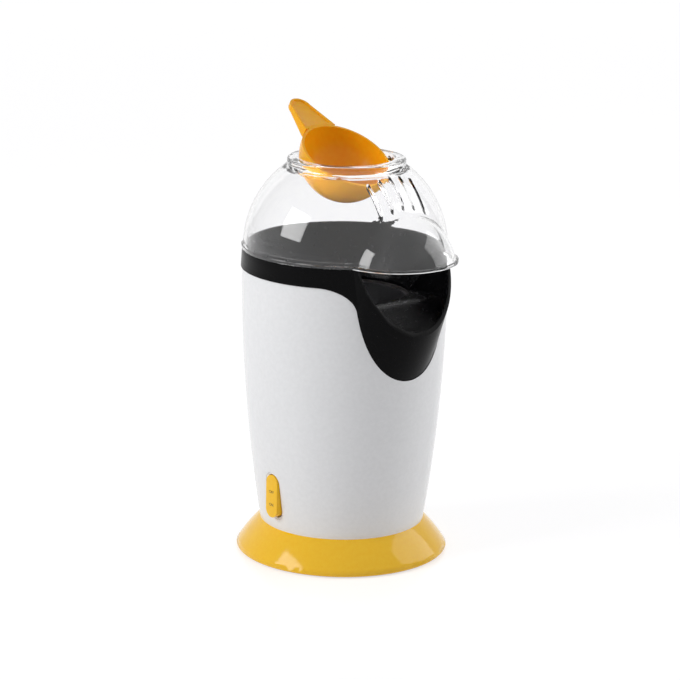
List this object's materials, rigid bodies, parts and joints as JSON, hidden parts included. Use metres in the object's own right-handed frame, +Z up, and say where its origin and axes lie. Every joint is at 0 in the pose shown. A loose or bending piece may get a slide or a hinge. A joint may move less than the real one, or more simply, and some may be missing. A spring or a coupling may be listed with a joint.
{
  "type": "hot-air popcorn maker",
  "caption": "Table-top hot-air popcorn maker with a barrel body, flared base, open spout, clear lift-off dome and a measuring scoop in the dome's top ring.",
  "frame": {"origin": "on the upright axis of the body, at the plane the feet stand on", "axes": "+Z up, -Y towards the front where the spout opens, -X the side with the switch"},
  "size_m": [0.16, 0.183, 0.337],
  "materials": {
    "yellow_plastic": "moulded gloss",
    "amber_plastic": "tinted moulded gloss",
    "white_plastic": "moulded gloss",
    "black_plastic": "moulded gloss",
    "clear_plastic": "clear gloss",
    "dark_plastic": "moulded matt",
    "black_rubber": "matt",
    "dark_silicone": "matt",
    "plated_steel": "zinc plated",
    "duct_steel": "galvanised",
    "chamber_aluminium": "drawn, with a dark coating",
    "fan_aluminium": "stamped",
    "mica": "matt sheet",
    "heater_wire": "drawn wire",
    "bronze": "sintered",
    "magnet": "matt",
    "core_steel": "laminated",
    "board": "matt laminate",
    "terminal_plastic": "matt",
    "tab_brass": "plain"
  },
  "bodies": {
    "housing": {"base_skirt": "yellow_plastic", "body_shell": "white_plastic", "switch_housing": "white_plastic", "chute_collar": "black_plastic", "base_plate": "dark_plastic", "rubber_feet": "black_rubber", "base_screws": "plated_steel", "collar_screws": "plated_steel", "duct_screws": "plated_steel", "motor_mount_screws": "plated_steel", "motor_screws": "plated_steel", "rocker_pin": "plated_steel", "chamber_gasket": "dark_silicone", "popping_chamber": "chamber_aluminium", "duct_housing": "duct_steel", "motor_mount": "duct_steel", "motor_can": "plated_steel", "thermostat": "plated_steel", "motor_end_cap": "dark_plastic", "motor_bushes": "bronze", "motor_magnets": "magnet", "mica_boards": "mica", "heating_coil": "heater_wire", "rectifier_board": "board", "rectifier_diodes": "dark_plastic", "thermal_fuse": "terminal_plastic", "terminal_block": "terminal_plastic", "switch_tabs": "tab_brass", "cord_bush": "black_rubber"},
    "dome": {"dome_lid": "clear_plastic"},
    "scoop": {"measuring_scoop": "amber_plastic"},
    "rocker": {"switch_rocker": "yellow_plastic"},
    "rotor": {"motor_shaft": "plated_steel", "motor_armature": "core_steel", "fan_impeller": "fan_aluminium"}
  },
  "joints": [
    {"name": "dome_lift", "type": "slide", "parent": "housing", "child": "dome", "axis": [0, 0, 1], "range_m": [0, 0.08]},
    {"name": "scoop_lift", "type": "slide", "parent": "dome", "child": "scoop", "axis": [0, 0, 1], "range_m": [0, 0.06]},
    {"name": "switch_rock", "type": "hinge", "parent": "housing", "child": "rocker", "pos_m": [-0.06259, 0, 0.05146], "axis": [0, -1, 0], "range_deg": [0, 16]},
    {"name": "fan_spin", "type": "hinge", "parent": "housing", "child": "rotor", "pos_m": [0, 0, 0.08], "axis": [0, 0, 1], "continuous": true}
  ]
}
